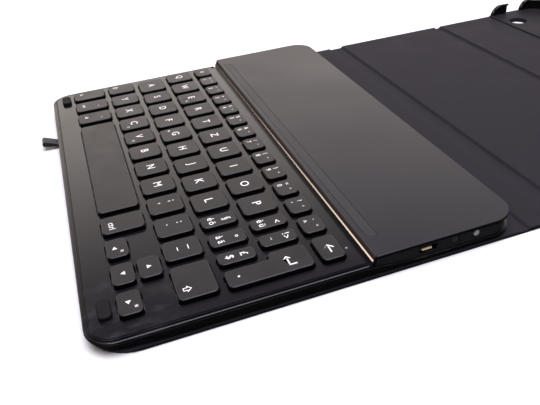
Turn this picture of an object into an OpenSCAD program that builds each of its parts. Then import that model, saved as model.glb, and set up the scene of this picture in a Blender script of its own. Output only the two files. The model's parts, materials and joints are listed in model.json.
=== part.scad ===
// Tablet keyboard case: a thin keyboard tray with a fabric folio cover that folds up
// behind it as a stand and holds a 9.7 inch tablet at its far end.
//
// Frame: origin at the centre of the tray's underside, on the table. +X is the typist's
// right, +Y runs from the typist towards the cover's hinge, +Z is up. It is drawn open
// and flat. Plans are drawn from the tray's left front corner and then moved to the origin.

/* [Tray] */
// Width of the tray, left to right
tray_w = 243.6; // [235:0.1:255]
// Depth of the tray, front edge to rear edge
tray_d = 185.5; // [184:0.1:190]
// Corner radius of the tray, seen from above
tray_r = 12; // [6:0.5:16]
// Height of the keyboard deck above the table
deck_z = 7.2; // [6.6:0.1:7.6]
// Thickness of the deck plate
deck_t = 1.4; // [1:0.1:1.6]
// Height of the raised rear section above the table
rear_z = 10.8; // [10.4:0.1:12]
// Where the deck ends and the stand slot starts, from the front edge
slot_y = 113.2; // [113:0.1:114]
// Thickness of the shell's floor
floor_t = 0.8; // [0.6:0.1:1]
// Thickness of the shell's walls
wall_t = 1.6; // [1.2:0.1:2]

/* [Keys] */
// Height of the key tops above the table
key_z = 9.2; // [8.8:0.1:9.6]
// Thickness of a key cap
cap_t = 3.2; // [2.8:0.1:3.4]
// How far a key travels down
key_travel = 1.2; // [0.8:0.1:1.4]
// Gap between a key and its hole in the deck
key_gap = 0.35; // [0.25:0.05:0.5]
// Corner radius of a key cap
key_r = 2.4; // [1:0.1:3]
// Left edge of the key field, from the tray's left edge
keys_x = 6; // [5:0.1:7]
// Right edge of the key field, from the tray's left edge
keys_end = 235.8; // [234:0.1:237]
// Front edge of the space bar's row, from the front edge
keys_y = 14; // [12:0.1:15]
// Distance from one row of letters to the next
row_pitch = 20.05; // [19.8:0.05:20.2]
// Depth of a letter key, front to back
letter_d = 16.7; // [15:0.1:17]
// Distance from one letter key to the next
letter_pitch = 18.95; // [18.8:0.05:19]
// Width of a letter key
letter_w = 15.2; // [14:0.1:15.6]
// Distance from one number key to the next
number_pitch = 16.35; // [16:0.05:16.4]
// Width of a number key
number_w = 12.8; // [12:0.1:13]
// Depth of a number key
number_d = 10.5; // [9:0.1:11]
// Distance from one key of the front row to the next
front_pitch = 18.4; // [18.2:0.05:18.5]
// Width of a key of the front row
front_w = 14; // [13:0.1:14.4]
// Depth of the space bar and the keys beside it
space_d = 19.8; // [18:0.1:20]
// Depth of an arrow key, which is half a key
arrow_d = 9.8; // [9:0.1:10]

/* [Side controls] */
// Centre of the charging socket, from the front edge
socket_y = 141; // [138:0.5:143]
// Centre of the connect button, from the front edge
connect_y = 154; // [152:0.5:156]
// Centre of the power button, from the front edge
power_y = 164.5; // [162:0.5:166]
// Radius of the connect button
connect_r = 1.8; // [1.2:0.1:1.8]
// Radius of the power button
power_r = 1.5; // [1.4:0.1:2]
// How far a side button travels in
button_travel = 0.5; // [0.3:0.1:0.6]
// Gap between a side button and its hole
button_gap = 0.25; // [0.2:0.05:0.3]

/* [Folio cover] */
// How far the cover stands past the tray on each side
cover_over = 1; // [0.5:0.1:2]
// Thickness of the cover's outer and inner skin
skin_t = 0.6; // [0.6:0.1:0.9]
// Thickness of the stiffening boards
board_t = 1.0; // [1:0.1:1.4]
// Fold between the tray and the spine, from the front edge
spine_fold_y = 188; // [187.8:0.1:189]
// Fold between the spine and the lower cover, from the front edge
cover_fold_y = 211; // [210:0.5:213]
// Fold between the lower and the upper cover, from the front edge
mid_fold_y = 300; // [298:0.5:302]
// Far edge of the upper cover, from the front edge
cover_end_y = 396; // [394:0.5:400]
// Corner radius of the upper cover
cover_r = 14; // [10:0.5:16]
// Radius of the stitched bead that each fold turns about
bead_r = 0.4; // [0.3:0.05:0.5]

/* [Tablet holder] */
// Near edge of the holder's plate, from the front edge
holder_y = 348.5; // [340:0.5:350]
// Thickness of the holder's plate
holder_t = 1; // [0.8:0.1:1.2]
// Thickness of the tablet that the clips hold
tablet_t = 6.3; // [6:0.1:8]
// Thickness of the clips' walls
clip_t = 1.6; // [1.2:0.1:2]
// How far the clips' lips reach in over the tablet
lip_in = 1.6; // [1:0.1:2]
// Thickness of the clips' lips
lip_t = 1.2; // [0.8:0.1:1.4]
// Start and end of the side clips, from the front edge
side_clip = [350, 364]; // [300:0.5:400]
// Start of the corner clips on the sides, from the front edge
corner_clip_y = 377; // [370:0.5:380]
// How far the corner clips run along the far edge
corner_clip_x = 26; // [20:1:40]
// Centre of the camera hole, from the tray's left front corner
camera_at = [22.5, 359.5]; // [10:0.5:370]
// Radius of the camera hole
camera_r = 6.5; // [5:0.1:8]

/* [Hidden] */

fit = 0.15;          // gap around an insert that is glued in its pocket
fold_clear = 0.5;    // gap beside a fold's bead, which lets the next strip swing round it
eps = 0.01;

// Heights of the layers, from the table up
base_t = 1.2;                       // the cover's skin under the tray
floor_z = base_t + floor_t;         // top of the shell's floor
rim_z = deck_z - deck_t;            // underside of the deck
cap_top_t = 1.5;                    // thickness of the rear cover's top
rear_rim_z = rear_z - cap_top_t;    // underside of the rear cover
side_in = 0.8;                      // the rear walls stand in under the rear cover
plate_t = 0.4;                      // steel support plate
sheet_t = 0.4;                      // rubber sheet that carries the domes
dome_z = key_z - cap_t - key_travel - 0.2;
lip_z = 0.5;                        // how far the deck steps down in front of the slot
trim_front = slot_y + 0.2;          // foot of the bevel behind the slot
trim_back = trim_front + 3.4;       // where the rear cover takes over from the bevel
panel_t = skin_t + board_t + 0.6;   // whole thickness of a cover panel
fold_z = bead_r;                    // height of every fold's axis
holder_z = panel_t + holder_t;      // the face that the tablet lies on
clip_z = holder_z + tablet_t + lip_t;
magnet_bar = [12, 119, 231, 123.6]; // outline of the magnet cover, from the left front corner
magnet_cover_t = 0.6;
board_z = 4;                        // underside of the circuit board
button_z = 6.7;                     // height of the side buttons' centres
light_at = [229.3, 109.9];          // centre of the status light
light_r = 0.6;
tab_x = [57, 64];                   // left and right edge of the pull tab
tab_out = 9.5;                      // how far the pull tab stands out
tab_h = 3.6;                        // how high its outer end stands above the base cover

// ---- Plans ----

// Points of a quarter turn of radius r about c, from angle a, n steps
function turn(c, r, a, n) = [for (i = [0:n]) c + r * [cos(a + 90 * i / n), sin(a + 90 * i / n)]];

// Outline of a rectangle with a front and a rear corner radius
function plate_outline(x0, y0, x1, y1, rf, rb, n) = concat(
    turn([x0 + rf, y0 + rf], rf, 180, n), turn([x1 - rf, y0 + rf], rf, 270, n),
    turn([x1 - rb, y1 - rb], rb, 0, n), turn([x0 + rb, y1 - rb], rb, 90, n));

module slab(x0, y0, x1, y1, z0, z1, rf = 0.1, rb = 0.1, n = 12) {
    translate([0, 0, z0]) linear_extrude(z1 - z0) polygon(plate_outline(x0, y0, x1, y1, rf, rb, n));
}

// Moves a plan that is drawn from the tray's left front corner to the origin
module placed() translate([-tray_w / 2, -tray_d / 2, 0]) children();

// ---- Key layout: every key is [name, x0, y0, x1, y1] ----

function row_y(row) = keys_y + space_d + 3.1 + (row - 1) * row_pitch;
function letter_key(name, row, x) = [name, x, row_y(row), x + letter_w, row_y(row) + letter_d];
function wide_key(name, row, x0, x1) = [name, x0, row_y(row), x1, row_y(row) + letter_d];
function front_key(name, x0, x1) = [name, x0, keys_y, x1, keys_y + space_d];
function arrow_key(name, column, half) = [
    name, arrows_x + column * front_pitch, keys_y + half * (arrow_d + 1.3),
    arrows_x + column * front_pitch + front_w, keys_y + half * (arrow_d + 1.3) + arrow_d];

top_letters = ["q", "w", "e", "r", "t", "z", "u", "i", "o", "p"];
home_letters = ["a", "s", "d", "f", "g", "h", "j", "k", "l"];
low_letters = ["y", "x", "c", "v", "b", "n", "m"];
home_x = keys_x + 6.6;                      // the middle row stands to the right
low_x = keys_x + letter_pitch;
arrows_x = 183;
number_x = keys_x + 17.4;
number_y = row_y(4);

letter_keys = concat(
    [for (i = [0:9]) letter_key(top_letters[i], 3, keys_x + i * letter_pitch)],
    [wide_key("a", 2, home_x - 3.2, home_x + letter_w)],
    [for (i = [1:8]) letter_key(home_letters[i], 2, home_x + i * letter_pitch)],
    [for (i = [0:6]) letter_key(low_letters[i], 1, low_x + i * letter_pitch)]);

space_key = front_key("space", 61.5, 160.4);
shift_left = wide_key("shift_left", 1, keys_x, keys_x + letter_w - 0.4);
shift_right = wide_key("shift_right", 1, 213.4, 234.7);
backspace = ["backspace", keys_x + 213.6, number_y, keys_end, number_y + number_d];
arrow_keys = [
    arrow_key("arrow_left", 0, 0), arrow_key("arrow_down", 1, 0),
    arrow_key("arrow_up", 1, 1), arrow_key("arrow_right", 2, 0)];

// Return is two blocks: a wide one beside the top letters, a narrow one below it
return_top = wide_key("return", 3, 220.6, keys_end);
return_low = ["return", 224.8, row_y(2), keys_end, row_y(3) + 2 * key_r];

number_keys = concat(
    [["home", keys_x, number_y, keys_x + 14.1, number_y + number_d]],
    [for (i = [0:11]) ["number", number_x + i * number_pitch, number_y,
        number_x + i * number_pitch + number_w, number_y + number_d]]);

symbol_keys = concat(
    [for (i = [0:2]) front_key("modifier", keys_x + i * front_pitch, keys_x + i * front_pitch + front_w)],
    [front_key("modifier", arrows_x - front_pitch, arrows_x - front_pitch + front_w)],
    [for (i = [7:8]) letter_key("stop", 1, low_x + i * letter_pitch)],
    [wide_key("dash", 1, 195.3, 209.4)],
    [wide_key("accent", 2, 184.2, 193.6), wide_key("accent", 2, 198.8, 208.4),
     wide_key("accent", 2, 213, 221.1)],
    [wide_key("accent", 3, 195.9, 204.4), wide_key("accent", 3, 208.5, 217.1)]);

all_keys = concat(letter_keys, [space_key, shift_left, shift_right, backspace], arrow_keys,
                  number_keys, symbol_keys);

// Plan of one key, grown by g
module key_plan(k, g = 0) {
    polygon(plate_outline(k[1] - g, k[2] - g, k[3] + g, k[4] + g, key_r + g, key_r + g, 6));
}

// Plan of the return key, grown by g
module return_plan(g = 0) {
    union() {
        key_plan(return_top, g);
        key_plan(return_low, g);
    }
}

module cap_solid() {
    color([0.11, 0.11, 0.12])
        placed() translate([0, 0, key_z - cap_t]) linear_extrude(cap_t) children();
}

module key_cap(k) cap_solid() key_plan(k);

// ---- Tray ----

module base_cover() {
    color([0.20, 0.19, 0.22]) placed() {
        slab(-cover_over, -0.2, tray_w + cover_over, spine_fold_y - bead_r - 0.2, 0, base_t,
             tray_r, 0.1);
        // thin edge that runs out to the fold, ending in the fold's bead
        slab(-cover_over, spine_fold_y - bead_r - 0.3, tray_w + cover_over, spine_fold_y, 0, 2 * bead_r);
        fold_bead(spine_fold_y);
    }
}

// Round bead along a fold, from side to side
module fold_bead(y) {
    translate([-cover_over, y, fold_z]) rotate([0, 90, 0])
        cylinder(h = tray_w + 2 * cover_over, r = bead_r, $fn = 32);
}

module bottom_shell() {
    color([0.05, 0.05, 0.06]) placed() {
        tray_walls();
        // posts that carry the circuit board
        for (x = [153, 234], y = [130.5, 173.5])
            translate([x, y, floor_z - eps]) cylinder(h = board_z - floor_z + eps, r = 1.8, $fn = 32);
    }
}

module tray_walls() {
    difference() {
        union() {
            slab(0, 0, tray_w, slot_y, base_t, rim_z, tray_r, 0.1);
            slab(side_in, slot_y - 1, tray_w - side_in, tray_d - side_in, base_t, rear_rim_z,
                 0.1, tray_r);
        }
        // keyboard bay and, behind a cross wall, the battery bay
        slab(wall_t, wall_t, tray_w - wall_t, slot_y - 0.6, floor_z, rear_z, tray_r - wall_t, 0.1);
        slab(side_in + wall_t, slot_y + wall_t, tray_w - side_in - wall_t, tray_d - side_in - wall_t,
             floor_z, rear_z, 0.1, tray_r - wall_t);
        // step that the stand's bevel sits in
        slab(-1, slot_y - 2, tray_w + 1, trim_back, rim_z, rear_z);
        // charging socket and side buttons
        translate([tray_w - 4, socket_y - 4.2, board_z + 0.8]) cube([8, 8.4, 3.2]);
        side_hole(connect_y, connect_r);
        side_hole(power_y, power_r);
    }
}

module side_hole(y, r) {
    translate([tray_w - 4, y, button_z]) rotate([0, 90, 0])
        cylinder(h = 8, r = r + button_gap, $fn = 48);
}

module deck_plate() {
    color([0.06, 0.06, 0.065]) placed() difference() {
        translate([0, 0, rim_z]) linear_extrude(deck_t) difference() {
            polygon(plate_outline(0, 0, tray_w, slot_y, tray_r, 0.1, 12));
            for (k = all_keys) key_plan(k, key_gap);
            return_plan(key_gap);
        }
        translate([-1, slot_y - 2.2, deck_z - lip_z]) cube([tray_w + 2, 4, 4]);
        translate([light_at[0], light_at[1], 0]) cylinder(h = 20, r = light_r, $fn = 32);
    }
}

module status_light() {
    color([0.85, 0.85, 0.8]) placed() translate([light_at[0], light_at[1], rim_z])
        cylinder(h = deck_t, r = light_r, $fn = 32);
}

// Bevel that the tablet's edge leans against, with its foot under the rear cover
module slot_trim() {
    color([0.17, 0.15, 0.14]) placed()
        translate([side_in / 2, 0, 0]) rotate([90, 0, 90]) linear_extrude(tray_w - side_in)
            polygon([[trim_front, rim_z], [trim_back, rim_z], [trim_back, rear_z - 0.1],
                     [trim_back - 0.9, rear_z - 0.1], [trim_front, deck_z - 0.2]]);
}

module magnet_plan(g = 0) {
    m = 2.2; // mitre at the bar's ends
    polygon([[magnet_bar[0] - g, magnet_bar[1] - g], [magnet_bar[2] - m + g / 2, magnet_bar[1] - g],
             [magnet_bar[2] + g, magnet_bar[1] + m - g / 2], [magnet_bar[2] + g, magnet_bar[3] + g],
             [magnet_bar[0] + m - g / 2, magnet_bar[3] + g], [magnet_bar[0] - g, magnet_bar[3] - m + g / 2]]);
}

module rear_cover() {
    color([0.22, 0.22, 0.24]) placed() difference() {
        slab(0, trim_back, tray_w, tray_d, rear_rim_z, rear_z, 0.1, tray_r);
        translate([0, 0, rear_z - magnet_cover_t]) linear_extrude(2) magnet_plan(fit);
    }
}

module magnet_cover() {
    color([0.19, 0.19, 0.21]) placed()
        translate([0, 0, rear_z - magnet_cover_t]) linear_extrude(magnet_cover_t) magnet_plan();
}

// Bar magnets glued under the rear cover, which pull the tablet's edge into the slot
module slot_magnets() {
    count = 6;
    size = [22, 4, 1.4];
    color("silver") placed() for (i = [0:count - 1])
        translate([22 + i * 36, magnet_bar[1] + 0.3, rear_rim_z - size[2]]) cube(size);
}

module support_plate() {
    color([0.6, 0.6, 0.62]) placed()
        slab(3, 9, tray_w - 3, slot_y - 2, floor_z, floor_z + plate_t, 6, 1);
}

function centre(k) = [(k[1] + k[3]) / 2, (k[2] + k[4]) / 2];

// Rubber sheet with a dome under each key, drawn as the keys press them
module key_membrane() {
    z = floor_z + plate_t;
    color([0.75, 0.75, 0.72]) placed() {
        slab(3, 9, tray_w - 3, slot_y - 2, z, z + sheet_t, 6, 1);
        for (c = concat([for (k = all_keys) centre(k)], [centre(return_low)]))
            translate([c[0], c[1], z]) cylinder(h = dome_z - z, r = 2.2, $fn = 24);
    }
}

module circuit_board() {
    color([0.10, 0.30, 0.18]) placed() {
        slab(150, 128, tray_w - 5.4, 176, board_z, board_z + 1, 2, 2);
        // radio module, processor and connector
        translate([160, 150, board_z + 1]) cube([14, 14, 1.4]);
        translate([184, 152, board_z + 1]) cube([9, 9, 1]);
        translate([160, 131, board_z + 1]) cube([24, 4, 1.6]);
        // switches behind the side buttons
        for (y = [connect_y, power_y])
            translate([tray_w - 8.2, y - 2.5, board_z + 1]) cube([3.4, 5, 2.6]);
    }
}

module battery() {
    color([0.5, 0.52, 0.56]) placed() slab(14, 128, 142, 180, floor_z, floor_z + 3.8, 3, 3);
}

module usb_socket() {
    color([0.72, 0.66, 0.52]) placed() translate([tray_w - side_in - 7, socket_y - 3.9, board_z + 1])
        difference() {
            cube([6.8, 7.8, 2.8]);
            difference() {
                translate([0.5, 0.3, 0.3]) cube([8, 7.2, 2.2]);
                translate([0, 1.6, 1.5]) cube([5.6, 4.6, 0.6]); // contact tongue
            }
        }
}

module front_bumpers() {
    color([0.03, 0.03, 0.03]) placed() for (x = [[8.5, 19.8], [220.2, 231.5]])
        slab(x[0], 6.2, x[1], 11.7, deck_z, deck_z + 1.9, 2, 2, 6);
}

// Folded fabric loop at the front edge, for opening the case
module pull_tab() {
    color([0.1, 0.1, 0.1]) placed() translate([tab_x[0], 0, 0]) rotate([90, 0, 90])
        linear_extrude(tab_x[1] - tab_x[0])
            polygon([[-0.3, base_t + 0.1], [-0.3, base_t + tab_h / 2], [-tab_out + 1.8, base_t + tab_h],
                     [-tab_out, base_t + tab_h * 0.7], [-tab_out, base_t + tab_h * 0.3],
                     [-tab_out + 1.8, base_t + 0.1]]);
}

module side_button(y, r) {
    color([0.08, 0.08, 0.09]) placed() translate([tray_w - 4.1, y, button_z]) rotate([0, 90, 0])
        cylinder(h = 3.4, r = r, $fn = 48);
}

module connect_button() side_button(connect_y, connect_r);

module power_button() side_button(power_y, power_r);

// ---- Folio cover ----

// Half of the gap between the boards at the fold that turns up furthest
up_gap = 4;

// Start of a panel's thin edge after the bead that it turns about
edge_start = bead_r + fold_clear;

module cover_slab(y0, y1, z1, r1 = 0.1) {
    slab(-cover_over, y0, tray_w + cover_over, y1, 0, z1, 0.1, r1);
}

module board_slab(y0, y1, r1 = 0.1) {
    slab(-cover_over + 2, y0, tray_w + cover_over - 2, y1, skin_t, skin_t + board_t, 0.1, r1);
}

spine_board_y = [spine_fold_y + 2.6, cover_fold_y - up_gap];
lower_board_y = [cover_fold_y + up_gap, mid_fold_y - 1.5];
upper_board_y = [mid_fold_y + 1.5, cover_end_y];

// Narrow stiffened strip between the tray and the cover
module spine_panel() {
    color([0.21, 0.20, 0.23]) placed() {
        cover_slab(spine_fold_y + edge_start, cover_fold_y, 2 * bead_r);
        cover_slab(spine_board_y[0], spine_board_y[1], panel_t - 0.4);
        fold_bead(cover_fold_y);
    }
}

module lower_cover_skin() {
    color([0.21, 0.20, 0.23]) placed() {
        difference() {
            cover_slab(lower_board_y[0], lower_board_y[1], panel_t);
            board_slab(lower_board_y[0] + 1, lower_board_y[1] - 1);
        }
        cover_slab(cover_fold_y + edge_start, lower_board_y[0] + eps, 2 * bead_r);
        cover_slab(lower_board_y[1] - eps, mid_fold_y, 2 * bead_r);
        fold_bead(mid_fold_y);
    }
}

module lower_cover_board() {
    color([0.45, 0.38, 0.30]) placed() board_slab(lower_board_y[0] + 1, lower_board_y[1] - 1);
}

module camera_hole() {
    translate([camera_at[0], camera_at[1], -1]) cylinder(h = 20, r = camera_r, $fn = 64);
}

module upper_cover_skin() {
    color([0.21, 0.20, 0.23]) placed() difference() {
        union() {
            cover_slab(upper_board_y[0], upper_board_y[1], panel_t, cover_r);
            cover_slab(mid_fold_y + edge_start, upper_board_y[0] + eps, 2 * bead_r);
        }
        difference() {
            board_slab(upper_board_y[0] + 1, upper_board_y[1] - 3, cover_r - 3);
            translate([camera_at[0], camera_at[1], 0]) cylinder(h = 20, r = camera_r + 1, $fn = 64);
        }
        camera_hole();
    }
}

module upper_cover_board() {
    color([0.45, 0.38, 0.30]) placed() difference() {
        board_slab(upper_board_y[0] + 1, upper_board_y[1] - 3, cover_r - 3);
        translate([camera_at[0], camera_at[1], -1]) cylinder(h = 20, r = camera_r + 1, $fn = 64);
    }
}

// Outline of the tablet's seat at the holder, grown by g
module seat_plan(g = 0) {
    polygon(plate_outline(clip_t - g, holder_y - 200, tray_w - clip_t + g,
                          cover_end_y - 1 - clip_t + g, 0.1, cover_r - 1 - clip_t + g, 12));
}

// Where the clips stand: both sides and both far corners
module clip_zones() {
    translate([-5, side_clip[0]]) square([tray_w + 10, side_clip[1] - side_clip[0]]);
    translate([-5, corner_clip_y]) square([corner_clip_x + 5, 60]);
    translate([tray_w - corner_clip_x, corner_clip_y]) square([corner_clip_x + 5, 60]);
}

module tablet_holder() {
    color([0.05, 0.05, 0.055]) placed() {
        difference() {
            slab(0, holder_y, tray_w, cover_end_y - 1, panel_t, holder_z, 0.6, cover_r - 1);
            camera_hole();
        }
        // walls round the tablet's edge
        translate([0, 0, holder_z - eps]) linear_extrude(clip_z - holder_z + eps)
            intersection() {
                clip_zones();
                difference() {
                    seat_plan(clip_t);
                    seat_plan();
                }
            }
        // lips over the tablet's face
        translate([0, 0, clip_z - lip_t]) linear_extrude(lip_t) intersection() {
            clip_zones();
            difference() {
                seat_plan(clip_t);
                seat_plan(-lip_in);
            }
        }
    }
}

// ---- Assembly ----

base_cover();
bottom_shell();
deck_plate();
rear_cover();
slot_trim();
magnet_cover();
slot_magnets();
support_plate();
key_membrane();
circuit_board();
battery();
usb_socket();
status_light();
front_bumpers();
pull_tab();
connect_button();
power_button();
spine_panel();
lower_cover_skin();
lower_cover_board();
upper_cover_skin();
upper_cover_board();
tablet_holder();
key_cap(space_key);  // key_space
key_cap(shift_left);  // key_shift_left
key_cap(shift_right);  // key_shift_right
cap_solid() return_plan();  // key_return
key_cap(backspace);  // key_backspace
for (k = arrow_keys)
    key_cap(k);
for (k = number_keys) key_cap(k);  // number_row_keys
for (k = symbol_keys) key_cap(k);
for (k = letter_keys)
    key_cap(k);
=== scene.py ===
"""Looks of a tablet keyboard case: a gloss black keyboard tray with rounded keys, a raised
rear section with a metallic bevel, and a fabric folio cover with stiff panels and a clip
holder for the tablet.

Lengths inside the script are millimetres, measured from the tray's left front corner on
the table: x to the typist's right, y towards the cover, z up. They become metres in the
frame's own axes when a piece's mesh is made.
"""
import json
import math

import bmesh
import bpy
import numpy as np
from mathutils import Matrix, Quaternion, Vector
from mathutils.geometry import tessellate_polygon

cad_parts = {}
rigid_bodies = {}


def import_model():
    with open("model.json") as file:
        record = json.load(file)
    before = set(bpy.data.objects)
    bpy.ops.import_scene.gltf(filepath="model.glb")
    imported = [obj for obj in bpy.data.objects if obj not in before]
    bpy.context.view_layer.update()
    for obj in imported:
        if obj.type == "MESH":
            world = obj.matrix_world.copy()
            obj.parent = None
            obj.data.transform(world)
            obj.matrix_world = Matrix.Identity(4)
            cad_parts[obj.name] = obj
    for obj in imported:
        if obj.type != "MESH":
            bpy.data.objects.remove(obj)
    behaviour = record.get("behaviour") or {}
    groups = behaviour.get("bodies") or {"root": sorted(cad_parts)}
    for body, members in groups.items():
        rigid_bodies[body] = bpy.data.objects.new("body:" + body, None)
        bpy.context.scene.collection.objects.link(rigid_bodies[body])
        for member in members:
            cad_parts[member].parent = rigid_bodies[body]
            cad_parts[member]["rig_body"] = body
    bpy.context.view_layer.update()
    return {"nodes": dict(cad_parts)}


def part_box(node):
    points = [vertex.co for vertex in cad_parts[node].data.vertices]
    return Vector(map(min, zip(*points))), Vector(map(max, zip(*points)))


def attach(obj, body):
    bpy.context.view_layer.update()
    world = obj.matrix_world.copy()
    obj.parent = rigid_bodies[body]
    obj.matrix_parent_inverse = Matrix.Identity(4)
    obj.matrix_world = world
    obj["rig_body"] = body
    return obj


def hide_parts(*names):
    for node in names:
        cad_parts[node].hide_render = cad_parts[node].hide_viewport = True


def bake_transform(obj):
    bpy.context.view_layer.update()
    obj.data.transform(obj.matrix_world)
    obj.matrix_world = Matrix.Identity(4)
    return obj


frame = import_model()

bl_info = {
    "name": "Tablet keyboard case",
    "version": (1, 0, 0),
    "blender": (4, 5, 0),
    "location": "3D View > Sidebar > Keyboard Case",
    "description": "Builds the visible pieces of a tablet keyboard case around its CAD frame",
    "category": "Add Mesh",
}

MM = 0.001
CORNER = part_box("deck_plate")[0]
TINY = 0.02  # the smallest radius that a corner keeps, in millimetres
WELD = 2e-6  # points of a piece that are closer than this, in metres, become one


# ---- Measures from the frame ----

def in_tray(points):
    """Points in metres in the frame's axes, as millimetres from the tray's corner."""
    return (np.asarray(points, float) - (CORNER.x, CORNER.y, 0)) / MM


def box_mm(node):
    """Lowest and highest corner of a CAD node, in millimetres from the tray's corner."""
    low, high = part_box(node)
    return in_tray(low), in_tray(high)


def mesh_triangles(mesh):
    """Points of a mesh, and the point numbers of each of its triangles."""
    mesh.calc_loop_triangles()
    points = np.empty(len(mesh.vertices) * 3)
    mesh.vertices.foreach_get("co", points)
    corners = np.empty(len(mesh.loop_triangles) * 3, int)
    mesh.loop_triangles.foreach_get("vertices", corners)
    return points.reshape(-1, 3), corners.reshape(-1, 3)


def node_triangles(node):
    """Corners of a CAD node's triangles, as an array of (triangle, corner, xyz)."""
    points, corners = mesh_triangles(frame["nodes"][node].data)
    return in_tray(points)[corners]


def runs(low, high, gap=0.3):
    """Labels intervals that overlap: sorted by their start, a new run begins where the
    start lies more than gap past the highest end so far."""
    order = np.argsort(low)
    reach = np.maximum.accumulate(high[order])
    fresh = np.r_[0, low[order][1:] > reach[:-1] + gap]
    labels = np.empty(len(low), int)
    labels[order] = np.cumsum(fresh)
    return labels


def islands(node):
    """Boxes of the separate blocks in one node, sorted by row and then left to right.
    Triangles are split where their extents leave a gap, first along y and then along x."""
    triangles = node_triangles(node)
    low, high = triangles.min(1), triangles.max(1)
    rows = runs(low[:, 1], high[:, 1])
    boxes = []
    for row in range(rows.max() + 1):
        in_row = rows == row
        columns = runs(low[in_row, 0], high[in_row, 0])
        for column in range(columns.max() + 1):
            mine = columns == column
            boxes.append((low[in_row][mine].min(0), high[in_row][mine].max(0)))
    return boxes


TRAY = box_mm("deck_plate")[1]           # width, deck depth and deck height
REAR_FRONT, REAR_BACK = box_mm("rear_cover")[0], box_mm("rear_cover")[1]
COVER_LOW, COVER_HIGH = box_mm("base_cover")[0], box_mm("upper_cover_skin")[1]
TRAY_RADIUS = 12
UPPER_RADIUS = 14


# ---- Sizes and colours that a user would change ----

def linear(code):
    """An sRGB hex colour as linear red, green and blue: each part c from 0 to 1 becomes
    ((c + 0.055) / 1.055) to the power 2.4, or c / 12.92 near black."""
    parts = np.array([int(code[i:i + 2], 16) for i in (1, 3, 5)]) / 255
    return tuple(np.where(parts > 0.04045, ((parts + 0.055) / 1.055) ** 2.4, parts / 12.92))


def length(name, description, millimetres):
    """A length property, given in millimetres."""
    return bpy.props.FloatProperty(
        name=name, description=description, default=millimetres * MM, min=0, precision=5,
        unit="LENGTH")


def tint(name, description, code):
    """A colour property, given as an sRGB hex value."""
    return bpy.props.FloatVectorProperty(
        name=name, description=description, default=linear(code), size=3, min=0, max=1,
        subtype="COLOR")


class CaseSizes(bpy.types.PropertyGroup):
    """Sizes of the details that the CAD frame leaves plain."""
    key_fillet: length("Key fillet", "Radius of the edge round a key's top", 0.5)
    key_draft: length("Key draft", "How far a key's sides lean in below its fillet", 0.15)
    key_gap: length("Key gap", "Gap between a key and its hole in the deck", 0.35)
    hole_bevel: length("Hole bevel", "Width of the bevel round a key's hole", 0.15)
    rim_width: length("Rim width", "Width of the moulded rim round the deck", 2.6)
    rear_fillet: length("Rear cover fillet", "Radius of the edge round the rear cover", 0.3)
    print_height: length("Print height", "Height of a capital letter on a key", 4.1)
    print_rise: length("Print rise", "How far the ink stands above the key", 0.03)
    thread: length("Thread spacing", "Distance between the threads of the cover's fabric", 0.9)


class CaseColours(bpy.types.PropertyGroup):
    """Colours of the case's finishes."""
    deck: tint("Deck", "Gloss black deck", "#0f0e12")
    shell: tint("Shell", "Gloss black side walls", "#0a0a0b")
    keys: tint("Keys", "Satin key caps", "#100f12")
    ink: tint("Print", "Ink on the keys", "#f2f0ea")
    rear: tint("Rear cover", "Painted rear cover", "#15151d")
    bevel: tint("Bevel strip", "Metallised strip of the bevel behind the deck", "#d8cec4")
    slope: tint("Bevel slope", "Painted slope above the bevel's strip", "#2c2524")
    fabric: tint("Fabric", "Coated fabric of the folio cover", "#201e23")
    fabric_light: tint("Fabric high spots", "Threads of the fabric that stand up", "#29272d")
    holder: tint("Holder", "Gloss plastic of the tablet holder", "#080809")
    rubber: tint("Rubber", "Bumpers on the deck", "#0b0a0c")
    power: tint("Power button", "Light grey button", "#8b8b8e")
    tab: tint("Pull tab", "Woven loop at the front edge", "#17171a")


class StageSettings(bpy.types.PropertyGroup):
    """Camera, floor and light."""
    lens: bpy.props.FloatProperty(
        name="Lens", description="Focal length of the camera", default=40, min=10,
        subtype="DISTANCE_CAMERA")
    camera: bpy.props.FloatVectorProperty(
        name="Camera", description="Where the camera stands", size=3, subtype="TRANSLATION",
        default=(0.2867, -0.06855, 0.1675), unit="LENGTH")
    target: bpy.props.FloatVectorProperty(
        name="Target", description="What the camera looks at", size=3, subtype="TRANSLATION",
        default=(0.05159, 0.0023, 0), unit="LENGTH")
    roll: bpy.props.FloatProperty(
        name="Roll", description="Tilt of the camera about its own axis",
        default=math.radians(-5.015), subtype="ANGLE")
    sky: bpy.props.FloatProperty(
        name="Sky", description="Strength of the surrounding light", default=2.1, min=0)
    lamp: bpy.props.FloatProperty(
        name="Lamp", description="Power of the light overhead in watts", default=30, min=0)


def size(context, name):
    """One of CaseSizes in millimetres."""
    return getattr(context.scene.case_sizes, name) / MM


# ---- Outlines and surfaces ----

def unit(vectors):
    """Vectors of length one."""
    return vectors / np.linalg.norm(vectors, axis=-1, keepdims=True)


def smooth(t):
    """A step that runs from 0 to 1 with no slope at either end: 3 t squared less 2 t cubed."""
    t = np.clip(t, 0, 1)
    return t * t * (3 - 2 * t)


def points_of(x, y, z):
    """Points whose coordinates are numbers or arrays, spread over each other's rows and
    columns."""
    return np.stack(np.broadcast_arrays(x, y, z), -1)


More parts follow.
